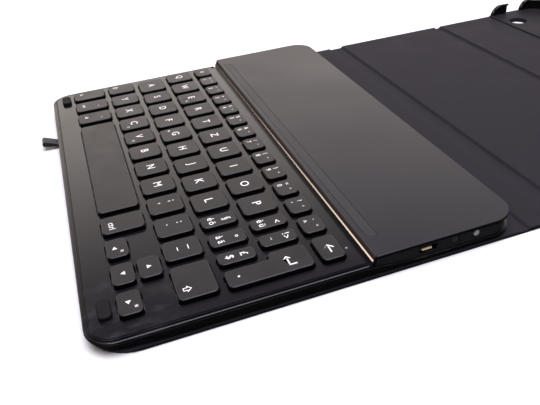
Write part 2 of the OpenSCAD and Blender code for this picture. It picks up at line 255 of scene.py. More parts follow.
def outline(corners, radii, inset=0.0, sides=1.0, steps=6):
    """A closed outline that walks round a polygon anticlockwise, as (corner, step, xy).

    Every side moves inwards by inset times its own share in sides, and the moved corner
    is where the two moved sides meet. Each corner is an arc that touches both sides: its
    radius is the corner's radius less the inset where the outline turns left, or plus the
    inset where it turns right, and its centre lies that radius off both sides.
    """
    p = np.array(corners, float)
    ahead = unit(np.roll(p, -1, 0) - p)
    back = np.roll(ahead, 1, 0)
    left = np.stack([-ahead[:, 1], ahead[:, 0]], 1)
    left_back = np.roll(left, 1, 0)
    move = inset * np.broadcast_to(np.asarray(sides, float), len(p))
    move_back = np.roll(move, 1)
    along = (left * left_back).sum(1)
    p = p + (left_back * (move_back - move * along)[:, None]
             + left * (move - move_back * along)[:, None]) / (1 - along ** 2)[:, None]
    turn = np.arctan2(back[:, 0] * ahead[:, 1] - back[:, 1] * ahead[:, 0],
                      (back * ahead).sum(1))
    side = np.sign(turn)
    r = np.maximum(np.broadcast_to(radii, len(p)) - side * (move + move_back) / 2, TINY)
    centre = p - back * (r * np.tan(abs(turn) / 2))[:, None] + left_back * (r * side)[:, None]
    first = np.arctan2(-left_back[:, 1] * side, -left_back[:, 0] * side)
    angle = first[:, None] + turn[:, None] * np.linspace(0, 1, steps + 1)
    return centre[:, None] + r[:, None, None] * np.stack([np.cos(angle), np.sin(angle)], -1)


def rectangle(low, high):
    """Corners of a rectangle, anticlockwise from its lowest corner."""
    return [(low[0], low[1]), (high[0], low[1]), (high[0], high[1]), (low[0], high[1])]


def fillet(radius, height, steps=5):
    """Profile of a rounded edge: a quarter circle that ends at the given height, as
    (inset, height) pairs, where inset grows from 0 to the radius."""
    a = np.linspace(0, math.pi / 2, steps + 1)
    return list(zip(radius * (1 - np.cos(a)), height - radius * (1 - np.sin(a))))


def distances(path):
    """Distance along a path from its start to each of its points."""
    return np.r_[0, np.cumsum(np.linalg.norm(np.diff(path, axis=0), axis=1))]


def resample(path, count):
    """Indices, as fractions, that cut a path into equal lengths."""
    reach = distances(path)
    return np.interp(np.linspace(0, reach[-1], count), reach, np.arange(len(path)))


def take(path, at):
    """Points of a path at fractional indices, straight between its own points."""
    return np.stack([np.interp(at, np.arange(len(path)), axis) for axis in path.T], 1)


class Shape:
    """Surfaces gathered into one mesh, in millimetres from the tray's corner."""

    def __init__(self):
        self.points, self.faces, self.total = [], [], 0

    def add(self, points, faces):
        """Adds points and faces that count from this surface's own first point. The faces
        are one array, so they all have the same number of corners."""
        points = np.asarray(points, float).reshape(-1, 3)
        self.points.append(points)
        self.faces += (np.asarray(faces) + self.total).tolist()
        self.total += len(points)

    def grid(self, points, round_rows=False, round_columns=False):
        """Four-sided faces between the points of a grid of (row, column, xyz)."""
        rows, columns = points.shape[:2]
        i = np.arange(rows - (not round_rows))[:, None]
        j = np.arange(columns - (not round_columns))
        down, right = (i + 1) % rows, (j + 1) % columns
        faces = np.stack([i * columns + j, i * columns + right, down * columns + right,
                          down * columns + j], -1)
        self.add(points, faces.reshape(-1, 4))

    def cap(self, ring):
        """One flat face inside a ring."""
        self.add(ring, [range(len(ring))])

    def tube(self, rings):
        """Faces between rings of the same length, and a flat face over either end."""
        self.grid(rings, round_columns=True)
        self.cap(rings[0])
        self.cap(rings[-1])

    def plate(self, rings):
        """A flat face inside the first ring with a hole at each of the others."""
        triangles = tessellate_polygon([[Vector(p) for p in ring] for ring in rings])
        self.add(np.concatenate(rings), triangles)


def level(ring, z):
    """A flat outline as one ring of points at height z."""
    flat = ring.reshape(-1, 2)
    return np.c_[flat, np.full(len(flat), z)]


def wall(shape, corners, radii, profile, sides=1.0, steps=6):
    """A wall round an outline: one ring for each (inset, height) pair of the profile, with
    faces between them. Returns the first and the last ring."""
    rings = np.stack([level(outline(corners, radii, d, sides, steps), z) for d, z in profile])
    shape.grid(rings, round_columns=True)
    return rings[0], rings[-1]


def block(shape, corners, radii, profile, sides=1.0, steps=6):
    """A closed block: a wall with a flat face under its first and over its last ring."""
    for ring in wall(shape, corners, radii, profile, sides, steps):
        shape.cap(ring)


def pierced(shape, edge, holes):
    """Closes a plate with holes. edge and each hole are the lowest and the highest ring of
    a wall. One flat face joins all the highest rings, and one all the lowest."""
    bottoms, tops = zip(edge, *holes)
    shape.plate(tops)
    shape.plate(bottoms)


def rail(shape, path_at, section, heights=None):
    """A closed rod along an open path. section is a closed loop of (inset, height) pairs,
    path_at(inset) gives the path at that inset, and heights, one for each point of the
    path, scale the section's height above its lowest point."""
    loop = np.stack([level(path_at(d), z) for d, z in section])
    if heights is not None:
        base = min(z for _, z in section)
        loop[..., 2] = base + (loop[..., 2] - base) * heights
    shape.grid(loop, round_rows=True)
    shape.cap(loop[:, 0])
    shape.cap(loop[:, -1])


def make_piece(name, shape, material, plan_uv=False, sharp=35):
    """Turns a Shape into an object at the origin: millimetres become metres in the frame's
    axes, doubled points are merged, faces are turned outwards, and edges sharper than the
    angle stay crisp. plan_uv maps the surface from above in metres, for a fabric."""
    points = np.concatenate(shape.points) * MM + (CORNER.x, CORNER.y, 0)
    mesh = bpy.data.meshes.new(name)
    mesh.from_pydata(points, [], shape.faces)
    work = bmesh.new()
    work.from_mesh(mesh)
    bmesh.ops.remove_doubles(work, verts=work.verts, dist=WELD)
    bmesh.ops.recalc_face_normals(work, faces=work.faces)
    work.to_mesh(mesh)
    work.free()
    mesh.polygons.foreach_set("use_smooth", np.ones(len(mesh.polygons), bool))
    mesh.set_sharp_from_angle(angle=math.radians(sharp))
    if plan_uv:
        corner = np.empty(len(mesh.loops), int)
        mesh.loops.foreach_get("vertex_index", corner)
        place = np.empty(len(mesh.vertices) * 3)
        mesh.vertices.foreach_get("co", place)
        plan = place.reshape(-1, 3)[corner, :2]
        mesh.uv_layers.new(name="plan").data.foreach_set("uv", plan.ravel())
    piece = bpy.data.objects.new(name, mesh)
    bpy.context.scene.collection.objects.link(piece)
    mesh.materials.append(material)
    return piece


def body_of(node):
    """Name of the body that a CAD node rides on."""
    return frame["nodes"][node]["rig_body"]


def stand_for(piece, slot, *nodes):
    """The piece rides where its CAD nodes ride and is shown in their place."""
    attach(piece, body_of(nodes[0]))
    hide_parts(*nodes)


def ride_on(piece, body):
    """The piece rides on a body, and another piece stands for the body's CAD nodes."""
    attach(piece, body)


# ---- Finishes ----

def add(tree, kind, inputs=None, **settings):
    """Adds a shader node. settings are its own options, and inputs are its sockets' values,
    or the sockets of other nodes that feed them."""
    node = tree.nodes.new("ShaderNode" + kind)
    for name, value in settings.items():
        setattr(node, name, value)
    for name, value in (inputs or {}).items():
        if isinstance(value, bpy.types.NodeSocket):
            tree.links.new(value, node.inputs[name])
        else:
            node.inputs[name].default_value = value
    return node


def finish(name, colour, roughness, **inputs):
    """A material with one Principled shader. Returns it, its tree and its shader."""
    material = bpy.data.materials.new(name)
    material.use_nodes = True
    tree = material.node_tree
    tree.nodes.clear()
    values = {label.replace("_", " "): value for label, value in inputs.items()}
    values.update({"Base Color": (*colour, 1), "Roughness": roughness})
    shader = add(tree, "BsdfPrincipled", values)
    add(tree, "OutputMaterial", {"Surface": shader.outputs[0]})
    return material, tree, shader


def object_place(tree):
    """Object coordinates, in metres."""
    return add(tree, "TexCoord").outputs["Object"]


def noise(tree, spacing, detail=2, stretch=(1, 1, 1)):
    """Noise whose lumps are about spacing millimetres apart, on Object coordinates."""
    scaled = add(tree, "Mapping", {"Vector": object_place(tree),
                                   "Scale": [s / (spacing * MM) for s in stretch]})
    return add(tree, "TexNoise", {"Vector": scaled.outputs[0], "Scale": 1,
                                  "Detail": detail}).outputs[0]


def waves(tree, vector, spacing, axis, distortion, detail_scale):
    """Ridges that follow each other along an axis, spacing millimetres apart. At scale 1 a
    wave texture repeats every pi / 10."""
    return add(tree, "TexWave", {
        "Vector": vector, "Scale": math.pi / 10 / (spacing * MM), "Distortion": distortion,
        "Detail Scale": detail_scale}, bands_direction=axis).outputs["Fac"]


def spread(tree, value, low, high, start=0.3, end=0.7):
    """Maps a pattern's values from start..end to low..high, and stops there."""
    return add(tree, "MapRange", {
        "Value": value, "From Min": start, "From Max": end, "To Min": low, "To Max": high,
    }).outputs[0]


def calculate(tree, operation, *values):
    """One step of arithmetic on numbers or sockets."""
    return add(tree, "Math", dict(enumerate(values)), operation=operation).outputs[0]


def blend_colours(tree, factor, first, second):
    """Mixes two colours by a factor from 0 to 1. Each is a colour or a socket with one."""
    ends = [end if isinstance(end, bpy.types.NodeSocket) else (*end, 1)
            for end in (first, second)]
    return add(tree, "Mix", {0: factor, 6: ends[0], 7: ends[1]}, data_type="RGBA").outputs[2]


def feed(tree, shader, **sources):
    """Links each source to the shader's input of that name."""
    for label, source in sources.items():
        tree.links.new(source, shader.inputs[label.replace("_", " ")])


def relief(tree, shader, height, depth):
    """Bump of the given depth in millimetres where height runs from 0 to 1."""
    bump = add(tree, "Bump", {"Height": height, "Distance": depth * MM, "Strength": 1})
    tree.links.new(bump.outputs[0], shader.inputs["Normal"])


def shade(colour, factor):
    """A colour made darker or lighter."""
    return tuple(min(1, part * factor) for part in colour)


def grained(tree, colour, grain):
    """A colour that runs from a tenth darker to a tenth lighter with the grain."""
    return blend_colours(tree, spread(tree, grain, 0, 1), shade(colour, 0.9), shade(colour, 1.1))


def moulded(name, colour, roughness, *, grain, depth, patch, change, **inputs):
    """Moulded plastic: fine grain of the given spacing and depth in millimetres from the
    tool's surface, and broad patches, patch millimetres apart, where the roughness drifts
    by change either way."""
    material, tree, shader = finish(name, colour, roughness, **inputs)
    fine = noise(tree, grain, detail=3)
    feed(tree, shader, Base_Color=grained(tree, colour, fine),
         Roughness=spread(tree, noise(tree, patch), roughness - change, roughness + change))
    relief(tree, shader, fine, depth)
    return material


def polished(name, colour, roughness, depth=0.004):
    """ABS moulded against a polished tool, which leaves only long faint waves."""
    return moulded(name, colour, roughness, grain=2.5, depth=depth, patch=30, change=0.03)


def gloss_deck(colour):
    """Gloss ABS deck, moulded against a polished tool: a deep black with soft reflections,
    dulled and greyed in patches where fingers have left a film near the front corner."""
    roughness = 0.19
    material, tree, shader = finish("deck_gloss_abs", colour, roughness, IOR=1.5)
    inset, height, reach = 0.012, 0.007, 0.034  # the film's middle and radius, in metres
    spot = (TRAY[0] * MM + CORNER.x - inset, CORNER.y + inset, height)
    near = add(tree, "Mapping", {"Vector": object_place(tree), "Location": spot,
                                 "Scale": [reach] * 3}, vector_type="TEXTURE").outputs[0]
    distance = add(tree, "VectorMath", {0: near}, operation="LENGTH").outputs["Value"]
    corner = spread(tree, distance, 1, 0, start=0.2, end=1)
    streaks = noise(tree, 5, detail=4, stretch=(1, 0.5, 1))
    film = spread(tree, streaks, 0, 1, start=0.5, end=0.7)
    smear = calculate(tree, "MULTIPLY", corner, film)
    handled = spread(tree, noise(tree, 30), roughness - 0.03, roughness + 0.04)
    feed(tree, shader, Base_Color=blend_colours(tree, smear, colour, linear("#29272c")),
         Roughness=calculate(tree, "MULTIPLY_ADD", smear, 0.05, handled))
    relief(tree, shader, noise(tree, 2.5), 0.004)
    return material


def key_satin(colour, top):
    """Satin ABS key caps: fine moulded grain, a slight polish in patches where fingers land
    on the tops, and painted shade on the sides, which get a quarter of the colour and a
    weaker reflection. top is the height of the tops in millimetres, and the sides start
    about 0.3 mm below it."""
    material, tree, shader = finish("key_satin_abs", colour, 0.38, IOR=1.5)
    height = add(tree, "SeparateXYZ", {"Vector": object_place(tree)}).outputs["Z"]
    # mask of the key tops; below them the sides carry painted shade
    unshaded_top = spread(tree, height, 0, 1, start=(top - 0.32) * MM, end=(top - 0.06) * MM)
    fine = noise(tree, 0.35, detail=3)
    # painted shade: below the top the sides get a quarter of the key's colour and a weaker
    # reflection
    feed(tree, shader,
         Base_Color=blend_colours(tree, unshaded_top, shade(colour, 0.25), grained(tree, colour, fine)),
         Roughness=spread(tree, noise(tree, 14), 0.33, 0.43),
         Specular_IOR_Level=spread(tree, unshaded_top, 0.12, 0.5, start=0, end=1))
    relief(tree, shader, fine, 0.012)
    return material


def coated_fabric(colour, high_spots, thread):
    """Polyurethane coated polyester: a plain weave pressed flat under a matt film. The
    weave is two sets of waves across each other on the plan map. Real threads are about
    0.4 mm apart, and these are drawn twice as coarse so that they show. Along both sides
    the colour is painted near black, as painted shade on the edges."""
    material, tree, shader = finish("cover_coated_fabric", colour, 0.66, Specular_IOR_Level=0.1,
                                    Sheen_Weight=0.03, Sheen_Roughness=0.45)
    plan = add(tree, "UVMap", uv_map="plan").outputs[0]
    warp, weft = (waves(tree, plan, thread, axis, distortion=0.6, detail_scale=4)
                  for axis in "XY")
    weave = calculate(tree, "MULTIPLY", warp, weft)
    cloud = noise(tree, 22, detail=4)
    mottle = calculate(tree, "MULTIPLY_ADD", weave, 0.35, spread(tree, cloud, 0, 0.65))
    # painted shade: within 0.8 mm of either side the fabric turns near black
    across = add(tree, "SeparateXYZ", {"Vector": plan}).outputs["X"]
    side = COVER_HIGH[0] * MM + CORNER.x
    painted_shade_edges = spread(tree, calculate(tree, "ABSOLUTE", across), 0, 1,
                    start=side - 0.8 * MM, end=side - 0.4 * MM)
    cloth = blend_colours(tree, mottle, colour, high_spots)
    feed(tree, shader, Base_Color=blend_colours(tree, painted_shade_edges, cloth, shade(colour, 0.2)),
         Roughness=spread(tree, cloud, 0.6, 0.74))
    relief(tree, shader, weave, 0.03)
    return material


def webbing(colour):
    """Woven nylon tape: ribs across the tape about 0.8 mm apart, with a dull sheen."""
    material, tree, shader = finish("tab_webbing", colour, 0.7, Sheen_Weight=0.3)
    ribs = waves(tree, object_place(tree), 0.8, "Y", distortion=1, detail_scale=3)
    feed(tree, shader, Base_Color=blend_colours(tree, ribs, shade(colour, 0.6), shade(colour, 1.6)))
    relief(tree, shader, ribs, 0.12)
    return material


def metal(name, colour, roughness, *, spacing, stretch=(1, 1, 1), depth=0.004):
    """Bare or plated metal: rolling or brushing leaves streaks that change its gloss."""
    material, tree, shader = finish(name, colour, roughness, Metallic=1.0)
    streaks = noise(tree, spacing, detail=3, stretch=stretch)
    feed(tree, shader, Base_Color=blend_colours(tree, streaks, shade(colour, 0.85), colour),
         Roughness=spread(tree, streaks, roughness * 0.8, roughness * 1.25))
    relief(tree, shader, streaks, depth)
    return material


def circuit_laminate():
    """Glass-filled laminate under green solder mask: tracks show as a faint block pattern."""
    green = linear("#1d4a2c")
    material, tree, shader = finish("board_solder_mask", green, 0.35, Coat_Weight=0.3)
    tracks = add(tree, "TexBrick", {
        "Vector": object_place(tree), "Scale": 1, "Color1": (*green, 1),
        "Color2": (*shade(green, 1.25), 1), "Mortar": (*shade(green, 0.6), 1),
        "Brick Width": 6 * MM, "Row Height": 1.6 * MM, "Mortar Size": 0.3 * MM})
    feed(tree, shader, Base_Color=tracks.outputs["Color"])
    return material


# ---- Pieces ----

# Heights of the deck's layers
DECK_LOW = box_mm("deck_plate")[0][2]
DECK_TOP = TRAY[2]
STEP_Y = TRAY[1] - 2.2          # where the deck steps down in front of the slot
STEP_Z = DECK_TOP - 0.5

# Rim round the deck: the radius of its outer edge, and the rest of its section as pairs of
# inset and depth below the deck's top
RIM_EDGE = 0.45
RIM_SECTION = [(0.95, 0.45), (1.0, 0.8), (1.3, 0.8), (1.36, 0.2), (1.45, 0.1), (1.8, 0.06),
               (1.88, 0.15), (1.95, 0.5), (2.15, 0.5), (2.2, 0.12), (2.32, 0)]

KEY_RADIUS = 2.4
KEY_NODES = [node for node in frame["nodes"]
             if node.startswith("key_") and node != "key_membrane"]
GROUP_NODES = ["number_row_keys", "symbol_keys"]


def return_corners():
    """Corners of the return key: a wide block with a narrower one in front of it. Its left
    side steps in at the front, where the node's points near its front edge start."""
    low, high = box_mm("key_return")
    points = node_triangles("key_return").reshape(-1, 3)
    narrow = points[points[:, 1] < low[1] + 0.01][:, 0].min() - KEY_RADIUS
    wide = points[points[:, 0] < low[0] + 0.01][:, 1].min() - KEY_RADIUS
    return [(narrow, low[1]), (high[0], low[1]), (high[0], high[1]), (low[0], high[1]),
            (low[0], wide), (narrow, wide)]


RETURN_RADII = [KEY_RADIUS] * 5 + [1.2]


def key_outlines(node):
    """(corners, radii) of each key in a node."""
    if node == "key_return":
        return [(return_corners(), RETURN_RADII)]
    boxes = islands(node) if node in GROUP_NODES else [box_mm(node)]
    return [(rectangle(low, high), KEY_RADIUS) for low, high in boxes]


class CASE_OT_deck(bpy.types.Operator):
    """Deck plate with a bevelled hole for each key, a moulded rim round three sides and a
    lower lip in front of the slot."""
    bl_idname = "case.deck"
    bl_label = "Keyboard deck"

    def execute(self, context):
        gap, bevel, rim = (size(context, n) for n in ("key_gap", "hole_bevel", "rim_width"))
        shape = Shape()
        edge = wall(shape, rectangle((0, 0), (TRAY[0], STEP_Y)), [TRAY_RADIUS, TRAY_RADIUS, 0, 0],
                    [(rim, DECK_LOW), (rim, DECK_TOP)], sides=[1, 1, 0, 1])
        profile = [(-gap, DECK_LOW), (-gap, DECK_TOP - bevel), (-gap - bevel, DECK_TOP)]
        holes = [wall(shape, corners, radii, profile)
                 for node in KEY_NODES + GROUP_NODES for corners, radii in key_outlines(node)]
        low, high = box_mm("status_light")
        holes.append(wall(shape, rectangle(low, high), (high - low)[0] / 2,
                          [(0, DECK_LOW), (0, DECK_TOP)]))
        pierced(shape, edge, holes)
        # lip in front of the slot, 0.4 mm wider at each end than the deck inside its rim
        end = rim - 0.4
        block(shape, rectangle((end, STEP_Y), (TRAY[0] - end, TRAY[1])), 0,
              [(0, DECK_LOW), (0, STEP_Z - 0.2), (0.2, STEP_Z)], sides=[0, 1, 1, 1])
        self.rim(shape, rim)
        stand_for(make_piece("keyboard_deck", shape, gloss_deck(context.scene.case_colours.deck)),
                  "deck_plastic", "deck_plate")
        return {"FINISHED"}

    def rim(self, shape, width):
        """Rim along the left, front and right edges: a rounded outer edge, a groove, a
        narrow ridge and a second groove against the deck."""
        corners = [(0, TRAY[1]), (0, 0), (TRAY[0], 0), (TRAY[0], TRAY[1])]
        radii = [0, TRAY_RADIUS, TRAY_RADIUS, 0]

        def path(inset):
            ring = outline(corners, radii, inset, sides=[1, 1, 1, 0], steps=10)
            return ring.reshape(-1, 2)

        section = [(0, DECK_LOW), *fillet(RIM_EDGE, DECK_TOP - RIM_EDGE),
                   *((inset, DECK_TOP - depth) for inset, depth in RIM_SECTION),
                   (width, DECK_TOP), (width, DECK_LOW)]
        rail(shape, path, section)


class CASE_OT_rear_cover(bpy.types.Operator):
    """Painted rear cover with a rounded edge and a shallow groove for the magnet cover, and
    the magnet cover in it."""
    bl_idname = "case.rear_cover"
    bl_label = "Rear cover"

    def execute(self, context):
        radius = size(context, "rear_fillet")
        colours = context.scene.case_colours
        paint = moulded("rear_soft_paint", colours.rear, 0.36, grain=0.5, depth=0.004, patch=60,
                        change=0.04, IOR=1.45)
        gloss = polished("rear_rim_abs", colours.shell, 0.25)
        bar_paint = moulded("magnet_bar_paint", colours.rear, 0.42, grain=0.6, depth=0.006,
                            patch=60, change=0.03)
        base, top = REAR_FRONT[2], REAR_BACK[2]
        seam = top - radius - 0.15
        corners = rectangle(REAR_FRONT, REAR_BACK)
        radii = [0, 0, TRAY_RADIUS, TRAY_RADIUS]
        sides = [0.15, 1, 1, 1]  # the edge towards the bevel is nearly square
        rim, panel, strip = Shape(), Shape(), Shape()
        block(rim, corners, radii, [(0.1, base), (0, base + 0.15), (0, seam)], sides, steps=12)
        under, over = wall(panel, corners, radii,
                           [(0, seam), *fillet(radius, top), (radius + 0.1, top)], sides,
                           steps=12)
        bar, bar_radius, gap = self.bar(), 0.3, 0.12
        floor, mouth = wall(panel, bar, bar_radius,
                            [(-gap, seam + 0.05), (-gap, top - 0.1), (-gap - 0.1, top)])
        panel.plate([over, mouth])
        panel.cap(floor)
        panel.cap(under)
        block(strip, bar, bar_radius, [(0, seam + 0.08), (0, top - 0.12), (0.12, top - 0.02)])
        ride_on(make_piece("rear_cover_rim", rim, gloss), "tray")
        stand_for(make_piece("rear_cover_panel", panel, paint), "soft_touch", "rear_cover")
        stand_for(make_piece("magnet_cover_strip", strip, bar_paint), "soft_touch", "magnet_cover")
        return {"FINISHED"}

    def bar(self):
        """Corners of the magnet cover: a long bar with a mitre at its right front and its
        left rear corner."""
        low, high = box_mm("magnet_cover")
        mitre = 2.2
        return [(low[0], low[1]), (high[0] - mitre, low[1]), (high[0], low[1] + mitre),
                (high[0], high[1]), (low[0] + mitre, high[1]), (low[0], high[1] - mitre)]


class CASE_OT_bevel(bpy.types.Operator):
    """Bevel behind the deck that the tablet leans on: a dark foot, a narrow metallised
    strip and a painted slope up to the rear cover."""
    bl_idname = "case.bevel"
    bl_label = "Slot bevel"

    def execute(self, context):
        colours = context.scene.case_colours
        low, high = box_mm("slot_trim")
        depth, height = high[1] - low[1], REAR_BACK[2] - low[2]
        # parts of the section, as (y, z) from the trim's front low edge
        step = [(0, 0), (0, 0.25), (1.4, 0.25), (1.6, 2.0)]
        glint = [(1.7, 2.15), (2.15, 2.75)]
        crest = [(2.3, 3.0), (2.5, 3.5), (depth - 0.4, height - 0.35),
                 (depth - 0.2, height - 0.1), (depth, height)]
        metallised = metal("bevel_metallised", colours.bevel, 0.12, spacing=4,
                           stretch=(0.02, 1, 1), depth=0.0003)
        paint = moulded("bevel_warm_paint", colours.slope, 0.34, grain=0.5, depth=0.002,
                        patch=60, change=0.04)
        gloss = polished("bevel_foot_abs", colours.shell, 0.22, depth=0.002)
        strip, slope, foot = Shape(), Shape(), Shape()
        left, right, end = low[0], high[0], 0.5  # the foot's end plates close both ends
        first, second = 1.66, 2.2  # where the foot meets the strip, and the strip the slope
        for shape, section in ((strip, [(first, 0), *glint, (second, 0)]),
                               (slope, [(second, 0), (second, 2.8), *crest, (depth, 0)]),
                               (foot, [*step, (first, 2.0), (first, 0)])):
            self.bar(shape, section, low, left + end, right - end)
        for start in (left, right - end):
            self.bar(foot, [*step, *glint, *crest, (depth, 0)], low, start, start + end)
        stand_for(make_piece("bevel_strip", strip, metallised, sharp=25), "trim_plastic",
                  "slot_trim")
        for name, shape, material in (("bevel_slope", slope, paint), ("bevel_foot", foot, gloss)):
            ride_on(make_piece(name, shape, material, sharp=25), "tray")
        return {"FINISHED"}

    def bar(self, shape, section, low, left, right):
        """A closed bar: a section of (y, z) pairs from the trim's front low edge, carried
        straight from left to right."""
        y, z = (np.array(section) + low[1:]).T
        shape.tube(points_of(np.linspace(left, right, 9)[:, None], y, z))


class CASE_OT_side_band(bpy.types.Operator):
    """Gloss band round the tray below the deck: tall beside the keys, it sweeps down to a
    low ledge under the recessed rear wall. Inside it is the tub of the bottom shell."""
    bl_idname = "case.side_band"
    bl_label = "Side band"

    def execute(self, context):
        gloss = polished("band_gloss_abs", context.scene.case_colours.shell, 0.2)
        low, high = box_mm("bottom_shell")
        corners = rectangle((0, 0), (TRAY[0], high[1] + 0.8))

        def ring(inset):
            path = outline(corners, TRAY_RADIUS, inset, steps=10).reshape(-1, 2)
            return np.concatenate([path, path[:1]])

        at = resample(ring(0), 500)[:-1]
        path = take(ring(0), at)
        tall, short = DECK_LOW - 0.15 - low[2], 2.2
        sweep_start, sweep_length = TRAY[1] - 3, 26
        height = tall + (short - tall) * smooth((path[:, 1] - sweep_start) / sweep_length)
        tuck = self.tuck(path)[:, None]
        # section of the band: (inset, share of its height)
        section = [(0.1, 0), (-0.15, 0.12), (-0.22, 0.5), (-0.22, 0.88), (-0.15, 0.96),
                   (0.05, 1.0), (1.2, 1.0), (1.2, 0)]
        loop = []
        for inset, share in section:
            path = take(ring(inset), at)
            path = path + (1 - share) * tuck * self.inward(path)
            loop.append(np.c_[path, low[2] + share * height])
        shape = Shape()
        shape.grid(np.stack(loop), round_rows=True, round_columns=True)
        ride_on(make_piece("side_band", shape, gloss), "tray")
        self.tub(low[2], DECK_LOW)
        return {"FINISHED"}

    def inward(self, points):
        """Directions from points on the tray's outline towards the inside: each points at
        the nearest place of the rectangle that lies 16 mm inside the tray's edges."""
        return unit(self.nearest_inside(points, 16) - points)

    def nearest_inside(self, points, margin):
        """Nearest places of the rectangle that lies a margin inside the tray's edges."""
        return np.clip(points, margin, np.array([TRAY[0], REAR_BACK[1]]) - margin)

    def tuck(self, points):
        """How far the tub's lower edge is drawn in, in millimetres: 2.6 at the two front
        corners, fading out 28 mm away from them."""
        depth, fade, inset = 2.6, 28, 4
        corners = np.array([(inset, inset), (TRAY[0] - inset, inset)])
        away = np.linalg.norm(points[:, None] - corners, axis=-1).min(1)
        return depth * smooth(1 - away / fade)

    def tub(self, low, high):
        """Bottom shell with its front corners tucked in: the CAD shell's own surface, where
        each point within 2 mm of the outline, and each one where the tuck is deep, moves
        inwards, by less the higher it lies between low and high."""
        points = node_triangles("bottom_shell").reshape(-1, 3)
        plan = points[:, :2]
        tuck, rim, deep = self.tuck(plan), 2, 1.2
        moves = (np.abs(self.nearest_inside(plan, rim) - plan).max(1) > 0) | (tuck > deep)
        share = np.clip((high - points[:, 2]) / (high - low), 0, 1)
        points[:, :2] = plan + np.where(moves, tuck * share, 0)[:, None] * self.inward(plan)
        shape = Shape()
        shape.add(points, np.arange(len(points)).reshape(-1, 3))
        satin = polished("shell_satin_abs", linear("#1d1d1f"), 0.3)
        stand_for(make_piece("shell_tub", shape, satin), "shell_plastic", "bottom_shell")


class CASE_OT_keys(bpy.types.Operator):
    """Key caps with drafted sides and a rounded edge round a flat top."""
    bl_idname = "case.keys"
    bl_label = "Key caps"

    def execute(self, context):
        draft, radius = size(context, "key_draft"), size(context, "key_fillet")
        satin = key_satin(context.scene.case_colours.keys, box_mm("key_space")[1][2])
        for node in KEY_NODES + GROUP_NODES:
            low, high = box_mm(node)
            side = [(0, low[2]), (0, DECK_TOP)]
            edge = [(draft + d, z) for d, z in fillet(radius, high[2])]
            shape = Shape()
            for corners, radii in key_outlines(node):
                block(shape, corners, radii, side + edge + [(draft + radius + 0.06, high[2])])
            name = "keycap_" + node.removeprefix("key_").removesuffix("_keys")
            stand_for(make_piece(name, shape, satin), "key_plastic", node)
        return {"FINISHED"}


# Marks on the keys: each is (text, right of centre, up from centre, height). The places are
# shares of the key's size, as print_marks says, and the height is a share of a capital
# letter's height.
MARKS = {
    "key_shift_left": [("⇧", -0.45, -0.5, 0.75)],
    "key_shift_right": [("⇧", 0.55, -0.55, 0.75)],
    "key_return": [("↵", 0.15, 0.62, 1.25), ("■", 0.3, -0.88, 0.2)],
    "key_backspace": [("←", 0.15, 0.0, 1.2)],
    "key_arrow_left": [("◀", 0, -0.25, 0.42), ("≡", 0.55, 0.5, 0.45)],
    "key_arrow_down": [("▼", 0, 0, 0.42)],
    "key_arrow_up": [("▲", 0, 0, 0.42)],
    "key_arrow_right": [("▶", 0, -0.1, 0.42), ("≡", 0.55, 0.6, 0.45)],
    "key_e": [("E", 0, 0, 1), ("€", 0.7, -0.6, 0.4)],
    "key_g": [("G", 0, 0, 1), ("■", -0.75, -0.45, 0.25)],
    "key_c": [("C", 0, 0, 1), ("□", 0.7, -0.6, 0.3)],
    "key_v": [("V", 0, 0, 1), ("□", 0.7, -0.6, 0.3)],
}
NUMBER_ROW = ["⌂", *zip("1234567890'^", "+\"*ç%&/()=?`")]
SYMBOLS = [
    [("fn", -0.3, -0.6, 0.5)],
    [("ctrl", -0.1, -0.6, 0.5), ("≡", 0.4, 0.5, 0.3)],
    [("alt", -0.1, -0.6, 0.5), ("≡", 0.4, 0.5, 0.3)],
    [("ctrl", 0.2, -0.62, 0.7)],
    [(",", -0.2, -0.4, 0.85), (";", -0.2, 0.45, 0.85)],
    [(".", -0.2, -0.4, 0.85), (":", -0.2, 0.45, 0.85)],
    [("–", 0, -0.3, 0.8), ("_", 0, 0.4, 1.0)],
    [("é", -0.45, -0.5, 0.78), ("ö", 0.4, -0.5, 0.78), ("§", 0.15, 0.5, 0.78)],
    [("à", -0.4, -0.5, 0.78), ("ä", 0.5, -0.5, 0.78), ("°", 0.1, 0.6, 0.85)],
    [("$", -0.05, -0.45, 0.8), ("£", -0.05, 0.5, 0.8)],
    [("è", -0.5, -0.5, 0.78), ("ü", 0.45, -0.5, 0.78), ("<", 0.35, 0.55, 0.75)],
    [("!", -0.4, 0.6, 0.8), (">", 0.3, 0.55, 0.75), ("¨", -0.1, -0.45, 0.8)],
]


def number_marks(label):
    """Marks of a key in the number row: its digit low on the left and its shifted sign
    above it, with a small generic sign at the upper right."""
    if label == "⌂":
        return [("⌂", 0, 0, 0.6)]
    digit, shifted = label
    return [(digit, -0.5, -0.45, 0.62), (shifted, -0.5, 0.45, 0.55), ("≡", 0.45, 0.45, 0.28)]


CAPITAL = 0.682  # height of a capital in the built-in font, for a size of 1
GLYPHS = {}


def glyph(text):
    """Points and triangles of a text in plain type, one unit high for a capital letter,
    centred on its own box. Each text is made once and kept."""
    if text not in GLYPHS:
        curve = bpy.data.curves.new("print", "FONT")
        curve.body = text
        curve.size = 1 / CAPITAL
        curve.extrude = 0.5
        curve.offset = 0.012
        curve.resolution_u = 3
        obj = bpy.data.objects.new("print", curve)
        bpy.context.scene.collection.objects.link(obj)
        bpy.context.view_layer.update()
        depsgraph = bpy.context.evaluated_depsgraph_get()
        mesh = bpy.data.meshes.new_from_object(obj.evaluated_get(depsgraph))
        points, faces = mesh_triangles(mesh)
        GLYPHS[text] = points - (points.min(0) + points.max(0)) / 2, faces
        bpy.data.objects.remove(obj)
        bpy.data.curves.remove(curve)
        bpy.data.meshes.remove(mesh)
    return GLYPHS[text]


